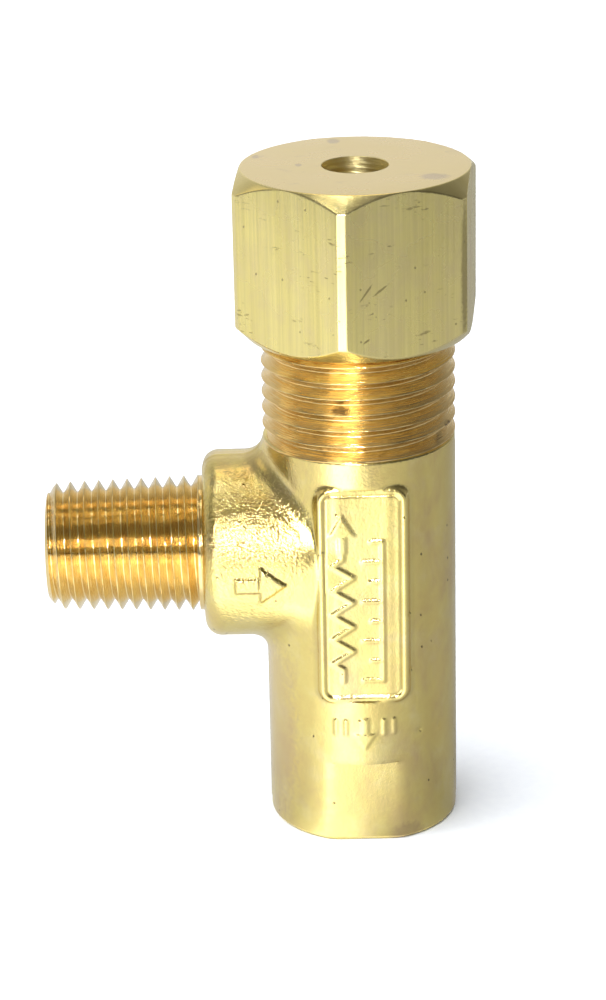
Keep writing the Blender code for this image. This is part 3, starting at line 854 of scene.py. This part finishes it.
def bore_cutter(material):
    """The spring chamber with its ring groove, the piston's bore, and the seat's."""
    chamber, groove, piston, seat, hole = 6.5, 7.1, 5.0, 5.2, 3.2
    mouth, ring_top, ring_foot, floor, shelf, foot = BODY_TOP + 1.0, 46.5, 45.5, 43.0, 12.5, 9.5
    profile = [
        (0.0, mouth), (8.1, mouth), (chamber, BODY_TOP - 0.6), (chamber, ring_top),
        (groove, ring_top), (groove, ring_foot), (chamber, ring_foot), (chamber, floor),
        (seat, floor), (piston, 42.8), (piston, 33.4), (seat, 33.2), (seat, shelf),
        (hole, shelf), (hole, 10.9), (5.35, foot), (0.0, foot),
    ]
    return turned("bores", profile, material, 96)


def inlet_bore_cutter(material):
    """The inlet's bore, chamfered at its mouth."""
    over, chamfer, end = 1.0, 0.35, 3.0
    profile = [
        (0.0, INLET_TIP + over), (INLET_BORE_RADIUS + over + chamfer, INLET_TIP + over),
        (INLET_BORE_RADIUS, INLET_TIP - chamfer), (INLET_BORE_RADIUS, end), (0.0, end),
    ]
    return lay_to_inlet(turned("inlet_bore", profile, material, 96))


def make_body():
    cut = machined_brass("machined_brass")
    inlet = machined_brass("inlet_brass", INLET_BRASS_PAINTED_LIGHT, "YZ", (0, 0, INLET_HEIGHT * MM))
    low = (-BOSS_FACE - 0.6, -BARREL_RADIUS - 0.7, -0.5)
    high = (BARREL_RADIUS + 0.6, BARREL_RADIUS + 0.6, BARREL_TOP + 0.6)
    brass = forged_brass()
    body = wrap_field("body", forging, low, high, FORGING_PITCH, brass, near_front_detail)
    join(body, cap_thread_solid(cut), "UNION")
    join(body, pipe_thread_solid(inlet), "UNION")
    join(body, bore_cutter(cut), "DIFFERENCE")
    join(body, inlet_bore_cutter(inlet), "DIFFERENCE")
    join(body, port_thread_cutter(cut), "DIFFERENCE")
    settle(body, "valve", "forged_brass", "valve_body")


# ---- cap
def hexagon_radius(angle):
    """The hexagon's radius in a direction, from a face's own direction.

    Its corners are narrow facets, as on drawn bar.
    """
    inner = CAP_FLATS / 2
    away = abs((angle + math.pi / 6) % (math.pi / 3) - math.pi / 6)
    facet = inner / math.cos(math.pi / 6) - CAP_CORNER_FACET / math.tan(math.pi / 3)
    return smooth_min(inner / math.cos(away), facet / math.cos(math.pi / 6 - away), 0.04)


def cap_profile(radius):
    """The cap's outer outline where the hexagon has this radius, top to bottom.

    Each piece of it has its own number of points, so that all outlines match.
    """
    top_edge = (CAP_TOP_FACE_RADIUS, CAP_HIGH)
    top_crease = (radius, CAP_HIGH - (radius - CAP_TOP_FACE_RADIUS) * CAP_TOP_SLOPE)
    foot_crease = (radius, CAP_LOW + (radius - CAP_FOOT_FACE_RADIUS) * CAP_FOOT_SLOPE)
    foot_edge = (CAP_FOOT_FACE_RADIUS, CAP_LOW)
    outline = [(7.0, CAP_HIGH), top_edge, top_crease, foot_crease, foot_edge, (10.0, CAP_LOW)]
    return rounded(outline, 0.16, 4)


def cap_outside(*materials):
    """The hexagon with its chamfers, from its outline in each direction."""
    # More directions lie across each face than across each corner's facet.
    dense = math.radians(27.2)
    in_face = [*np.linspace(-dense, dense, 25), *np.linspace(dense, math.pi / 3 - dense, 17)[1:-1]]
    angles = [face * math.pi / 3 + a for face in range(6) for a in in_face]
    rows = np.array([cap_profile(hexagon_radius(a)) for a in angles])
    turned_to = np.array(angles) + CAP_TURN
    x = rows[..., 0] * np.cos(turned_to)[:, None]
    y = rows[..., 0] * np.sin(turned_to)[:, None]
    points = np.stack([x, y, rows[..., 1]], axis=-1)
    count, depth = points.shape[:2]
    number = np.arange(count * depth).reshape(count, depth)
    closed = np.vstack([number, number[:1]])
    faces = []
    for k in range(depth - 1):
        faces += quads(closed[:, k + 1], closed[:, k])
    total = count * depth
    for a, b in zip(closed[:, 0], closed[1:, 0]):
        faces.append((int(a), int(b), total))
    for a, b in zip(closed[:, -1], closed[1:, -1]):
        faces.append((int(b), int(a), total + 1))
    points = np.vstack([points.reshape(-1, 3), [(0, 0, CAP_HIGH), (0, 0, CAP_LOW)]])
    cap = new_object("cap", points, faces)
    for material in materials:
        cap.data.materials.append(material)
    for face in cap.data.polygons:
        up = face.normal.z
        face.material_index = 1 if up > 0.97 else 2 if abs(up) > 0.25 else 0
    return cap


def make_cap():
    """The hexagon, then its bore with the relief, its inner thread and its hole."""
    sides, top, chamfer = drawn_brass(), turned_brass(), chamfer_brass()
    cut = machined_brass("cap_thread_brass")
    cap = cap_outside(sides, top, chamfer)
    bore = [
        (0.0, CAP_CEILING), (CAP_RELIEF_RADIUS, CAP_CEILING), (CAP_RELIEF_RADIUS, CAP_RELIEF_LOW),
        (CAP_INNER_ROOT, CAP_RELIEF_LOW - 0.9), (CAP_INNER_ROOT, CAP_LOW + 0.9),
        (10.2, CAP_LOW - 0.64), (0.0, CAP_LOW - 0.64),
    ]
    join(cap, turned("cap_bore", bore, cut), "DIFFERENCE")
    low = CAP_LOW - 1
    rod = helical_rod(
        "cap_inner_thread", CAP_PITCH, CAP_THREAD_START + CAP_PITCH * 6, low, CAP_INNER_TOP,
        lambda height: np.full_like(height, CAP_INNER_CREST), CAP_THREAD, cut,
    )
    length = [(0.0, CAP_INNER_TOP), (10.0, CAP_INNER_TOP), (10.0, low), (0.0, low)]
    join(cap, join(rod, turned("cap_thread_reach", length, cut), "INTERSECT"), "DIFFERENCE")
    hole = [
        (0.0, CAP_HIGH + 1.0), (CAP_HOLE_RADIUS + 1.06, CAP_HIGH + 1.0),
        (CAP_HOLE_RADIUS, CAP_HIGH - 0.06), (CAP_HOLE_RADIUS, CAP_CEILING - 1.0),
        (0.0, CAP_CEILING - 1.0),
    ]
    join(cap, turned("cap_hole", hole, drilled_brass(), 96), "DIFFERENCE")
    settle(cap, "cap", "drawn_brass", "adjusting_cap", sharp=40)


# ---- inner pieces
SPRING_LOW = 45.0
SPRING_HIGH = 60.7
SPRING_RADIUS = 4.85
WIRE_RADIUS = 0.85
SPRING_TURNS = 5.5
SPRING_CUT = 2.0
SPRING_GAP = 0.0012
WIRE_STEPS = 60
WIRE_SIDES = 16
PISTON_LIFT = 1.0
CAP_TRAVEL = 4.77


def wire_height(turn):
    """How high the wire's middle is after so many turns: each end coil lies closed."""
    closed = 2 * WIRE_RADIUS + 0.12
    low, high = SPRING_LOW + WIRE_RADIUS, SPRING_HIGH - WIRE_RADIUS
    places = [0, 1, SPRING_TURNS - 1, SPRING_TURNS]
    return np.interp(turn, places, [low, low + closed, high - closed, high])


def coil(name, first, last, material):
    """The spring's wire between two counts of turns, with flat ends."""
    sides = WIRE_SIDES
    turn = np.linspace(first, last, round((last - first) * WIRE_STEPS) + 1)
    angle = 2 * math.pi * turn[:, None]
    round_wire = np.linspace(0, 2 * math.pi, sides, endpoint=False)[None, :]
    radius = SPRING_RADIUS + WIRE_RADIUS * np.cos(round_wire)
    height = wire_height(turn)[:, None] + WIRE_RADIUS * np.sin(round_wire)
    points = np.stack([radius * np.cos(angle), radius * np.sin(angle), height], axis=-1)
    number = np.arange(turn.size * sides).reshape(turn.size, sides)
    closed = np.hstack([number, number[:, :1]])
    faces = []
    for k in range(sides):
        faces += quads(closed[:, k + 1], closed[:, k])
    faces += [tuple(number[0]), tuple(number[-1, ::-1])]
    faces = [tuple(int(i) for i in face) for face in faces]
    return new_object(name, points.reshape(-1, 3), faces, material)


def make_spring(material):
    """The spring in two lengths: the piston lifts one, and the other stays with the valve's body.
    """
    low = coil("spring_lower_coils", 0, SPRING_CUT - SPRING_GAP, material)
    high = coil("spring_upper_coils", SPRING_CUT, SPRING_TURNS, material)
    settle(low, "piston", "spring_steel")
    settle(high, "valve", "spring_steel", "pressure_spring")
    cut = float(wire_height(SPRING_CUT))
    for piece, joint, start, end, travel in (
        (low, "piston_lift", SPRING_LOW, cut, PISTON_LIFT),
        (high, "cap_lift", cut, SPRING_HIGH, CAP_TRAVEL),
    ):
        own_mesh(piece)


def dress_inner_pieces():
    """All inner pieces but the spring keep their CAD shapes and get their own materials."""
    stainless = steel("stainless_steel", (0.62, 0.62, 0.6), 0.16, 0.3)
    spring = steel("spring_steel", (0.36, 0.37, 0.39), 0.25, 0.4)
    rubber = seal_rubber()
    plastic = white_plastic()
    brass = machined_brass("inner_brass")
    rings = ("lower_backup_ring", "upper_backup_ring", "piston_guide_ring")
    chosen = {
        "piston_stop_ring": spring,
        **dict.fromkeys(("thrust_washer", "seat_retainer"), brass),
        **dict.fromkeys(("seat_o_ring", "piston_o_ring"), rubber),
        **dict.fromkeys((*rings, "thread_lock_pellet"), plastic),
    }
    make_spring(spring)
    for name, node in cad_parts.items():
        if name not in ("valve_body", "adjusting_cap", "pressure_spring"):
            node.data.materials.clear()
            node.data.materials.append(chosen.get(name, stainless))


# ---- stage
FLOOR_REACH = 4000
REFLECTOR_REACH = 890
REFLECTOR_HEIGHT = 0.3
WHITE = (1, 1, 1)
# How far from the valve the floor's changes of brightness lie, in metres.
NEAR_REACH = 0.05
FAR_REACH = 0.2
# The brightest patch of floor: its direction in degrees, and its place as a share of FAR_REACH.
HOT_ANGLES = [(0, 0.0), (12, 1.0), (28, 1.0), (44, 0.0)]
HOT_REACH = [(0.42, 0.0), (0.5, 1.0), (0.53, 1.0), (0.58, 0.4), (0.68, 0.4), (0.75, 1.0)]
FLOOR_GLOW = [
    (-180, 0.6), (-160, 0.45), (-125, 0.42), (-95, 0.5), (-75, 0.48), (-55, 0.57), (-34, 0.72),
    (-24, 0.82), (-14, 1.0), (-6, 1.3), (4, 1.9), (13, 2.5), (27, 2.8), (40, 1.6), (58, 1.1),
    (95, 1.0), (140, 0.9), (180, 0.6),
]


def floor_glow(t):
    """Brightness by direction round the valve, 0 towards the front and + to the left."""
    split = t.add("ShaderNodeSeparateXYZ", {0: t.add("ShaderNodeTexCoord").outputs["Object"]})
    x = t.minus(split.outputs["X"], AXIS_X)
    back = t.times(split.outputs["Y"], -1)
    left = t.times(x, -1)
    angle = t.maths("ARCTAN2", left, back)
    share = t.plus(t.maths("DIVIDE", angle, 2 * math.pi), 0.5)
    brightest = 3.0
    around = t.ramp(share, [((a + 180) / 360, v / brightest) for a, v in FLOOR_GLOW])
    squares = t.plus(t.times(x, x), t.times(back, back))
    radius = t.maths("SQRT", squares)
    near = t.ramp(t.maths("DIVIDE", radius, NEAR_REACH), [(0.2, 0.72), (0.45, 0.88), (0.8, 1.0)])
    far = t.ramp(t.maths("DIVIDE", back, FAR_REACH), [(0.66, 0.0), (0.76, 0.85)])
    across = t.plus(t.maths("DIVIDE", x, 2 * FAR_REACH), 0.5)
    beyond = t.times(far, t.ramp(across, [(0.6, 1.0), (0.72, 0.3)]))
    paper = t.minus(1.0, beyond)
    light = t.times(t.times(around, near), paper)
    hot = t.ramp(share, [((a + 180) / 360, v) for a, v in HOT_ANGLES])
    out = t.ramp(t.maths("DIVIDE", radius, FAR_REACH), HOT_REACH)
    light = t.plus(light, t.times(hot, out))
    return t.times(light, brightest)


def level_square(name, reach, height):
    """A flat square this far out from the middle, both in mm."""
    corners = [(-reach, -reach), (reach, -reach), (reach, reach), (-reach, reach)]
    square = new_object(name, [(x, y, height) for x, y in corners], [(0, 1, 2, 3)])
    return square


def make_reflector():
    """The bright floor round the valve, as reflections see it and nothing else does."""
    card = level_square("floor_reflector", REFLECTOR_REACH, REFLECTOR_HEIGHT)
    material = bpy.data.materials.new("floor_reflector")
    material.use_nodes = True
    t = Tree(material.node_tree)
    t.tree.nodes.remove(t.tree.nodes["Principled BSDF"])
    shine = t.add("ShaderNodeEmission", {"Color": WHITE, "Strength": floor_glow(t)})
    t.link(shine.outputs[0], t.tree.nodes["Material Output"].inputs["Surface"])
    card.data.materials.append(material)
    card.visible_camera = False
    card.visible_diffuse = False
    card.visible_shadow = False
    card.visible_transmission = False
    card.visible_volume_scatter = False


def make_floor():
    """Plain pale paper that reaches past the edge of every view."""
    floor = level_square("floor", FLOOR_REACH, 0)
    n = Nodes("floor_paper", Roughness=0.8, Specular_IOR_Level=0.2)
    grain = n.noise(n.place, 900, 3, 0.6)
    colour = n.between(grain, (0.86, 0.9, 0.97), (0.89, 0.93, 0.99))
    floor.data.materials.append(n.finish(colour, None, n.bump(grain, 0.00002, 0.3)))


def hang(name, data, place):
    """A light at a place, turned towards the valve's middle."""
    lamp = bpy.data.objects.new(name, data)
    bpy.context.scene.collection.objects.link(lamp)
    lamp.location = place
    lamp.rotation_euler = (MIDDLE - place).to_track_quat("-Z", "Y").to_euler()
    return lamp


def soft_light(name, place, size, radiance, colour, seen_in):
    """A rectangular soft box, given by how bright its face is."""
    data = bpy.data.lights.new(name, "AREA")
    data.shape = "RECTANGLE"
    data.size, data.size_y = size
    data.energy = radiance * math.pi * size[0] * size[1]
    data.color = colour
    lamp = hang(name, data, place)
    lamp.visible_camera = False
    lamp.visible_glossy = seen_in == "glossy"
    lamp.visible_diffuse = seen_in == "diffuse"


def even_light(name, place, strength, spread):
    """Soft light that is as strong far out on the floor as it is at the valve."""
    data = bpy.data.lights.new(name, "SUN")
    data.energy = strength
    data.angle = math.radians(spread)
    hang(name, data, place).visible_glossy = False


MIDDLE = Vector((AXIS_X, 0, 0.03))


def toward(azimuth, elevation, distance):
    """A place seen from the valve's middle: azimuth 0 is the front and + is to the left."""
    a, e = math.radians(azimuth), math.radians(elevation)
    away = Vector((-math.sin(a) * math.cos(e), -math.cos(a) * math.cos(e), math.sin(e)))
    return MIDDLE + away * distance


# How bright the room is by height, from the front horizon at 0 over the top to the back at 1.
SKY = [
    (0.0, 0.12), (0.02, 0.14), (0.05, 0.36), (0.15, 0.45), (0.2, 0.34), (0.3, 0.28), (0.5, 0.34),
    (0.62, 0.5), (0.72, 0.6), (0.8, 0.75), (0.86, 0.95), (1.0, 0.95),
]
# How bright the room is to each side, from the far left at 0 to the far right at 1.
SIDES = [(0.0, 0.85), (0.2, 0.7), (0.32, 0.8), (0.45, 1.0), (0.6, 0.9), (0.72, 0.4), (1.0, 0.3)]


def make_world():
    """The room: reflections see it dim, and the camera sees it as pale as the floor."""
    world = bpy.data.worlds.new("studio")
    bpy.context.scene.world = world
    world.use_nodes = True
    t = Tree(world.node_tree)
    split = t.add("ShaderNodeSeparateXYZ", {0: t.add("ShaderNodeTexCoord").outputs["Generated"]})
    front = t.times(split.outputs["Y"], -1)
    over = t.maths("ARCTAN2", split.outputs["Z"], front)
    level = t.ramp(t.maths("DIVIDE", over, math.pi), SKY)
    across = t.plus(t.times(split.outputs["X"], 0.5), 0.5)
    level = t.times(level, t.ramp(across, SIDES))
    dim = t.tree.nodes["Background"]
    dim.inputs["Color"].default_value = (1.0, 0.98, 0.95, 1)
    t.link(level, dim.inputs["Strength"])
    pale = t.add("ShaderNodeBackground", {"Color": WHITE})
    seen = t.add("ShaderNodeLightPath").outputs["Is Camera Ray"]
    chosen = t.add("ShaderNodeMixShader", {0: seen, 1: dim.outputs[0], 2: pale.outputs[0]})
    t.link(chosen.outputs[0], t.tree.nodes["World Output"].inputs["Surface"])


# Soft boxes that only reflections see: name, direction and distance in m, size in m,
# brightness and colour.
REFLECTED = [
    ("flash", (9, 24, 0.36), (0.022, 0.1), 90.0, WHITE),
    ("flash_halo", (6, 22, 0.4), (0.12, 0.25), 1.0, WHITE),
    ("ceiling_left", (112, 36, 0.5), (0.25, 0.16), 0.5, (1, 0.85, 0.45)),
    ("ceiling_front", (49, 65, 0.6), (0.17, 0.12), 1.9, (1, 0.95, 0.8)),
    ("ceiling_top", (90, 83, 0.5), (0.08, 0.2), 1.6, (1, 0.93, 0.75)),
    ("ceiling_strip", (80, 83, 0.5), (0.16, 0.012), 12.0, WHITE),
    ("ceiling_back", (180, 65, 0.6), (0.3, 0.14), 1.5, (1.0, 0.8, 0.5)),
]


def make_lights():
    for name, place, size, radiance, colour in REFLECTED:
        soft_light(name, toward(*place), size, radiance, colour, "glossy")
    soft_light("overhead", toward(50, 72, 0.9), (1.3, 1.1), 1.2, WHITE, "diffuse")
    even_light("skylight", toward(60, 62, 1.0), 3.1, 75)
    soft_light("key", toward(75, 38, 0.9), (0.4, 0.4), 3.0, WHITE, "diffuse")
    make_world()


def make_camera():
    """The camera: an upright view from the front, a little above, slightly rolled."""
    azimuth, elevation, roll = (math.radians(a) for a in (-0.128, 20.862, -1.224))
    distance = 305.16 * MM
    target = Vector((AXIS_X - 5.64 * MM, 0, 33.249 * MM))
    data = bpy.data.cameras.new("camera")
    data.lens = 110.8
    data.clip_start = 0.01
    data.clip_end = 10
    camera = bpy.data.objects.new("camera", data)
    bpy.context.scene.collection.objects.link(camera)
    turn = Matrix.Rotation(azimuth, 4, "Z") @ Matrix.Rotation(math.pi / 2 - elevation, 4, "X")
    turn = turn @ Matrix.Rotation(roll, 4, "Z")
    place = target + turn.to_3x3() @ Vector((0, 0, distance))
    camera.matrix_world = Matrix.Translation(place) @ turn
    bpy.context.scene.camera = camera


make_camera()
make_body()
make_cap()
dress_inner_pieces()
make_floor()
make_reflector()
make_lights()
bpy.context.scene.view_settings.view_transform = "Standard"
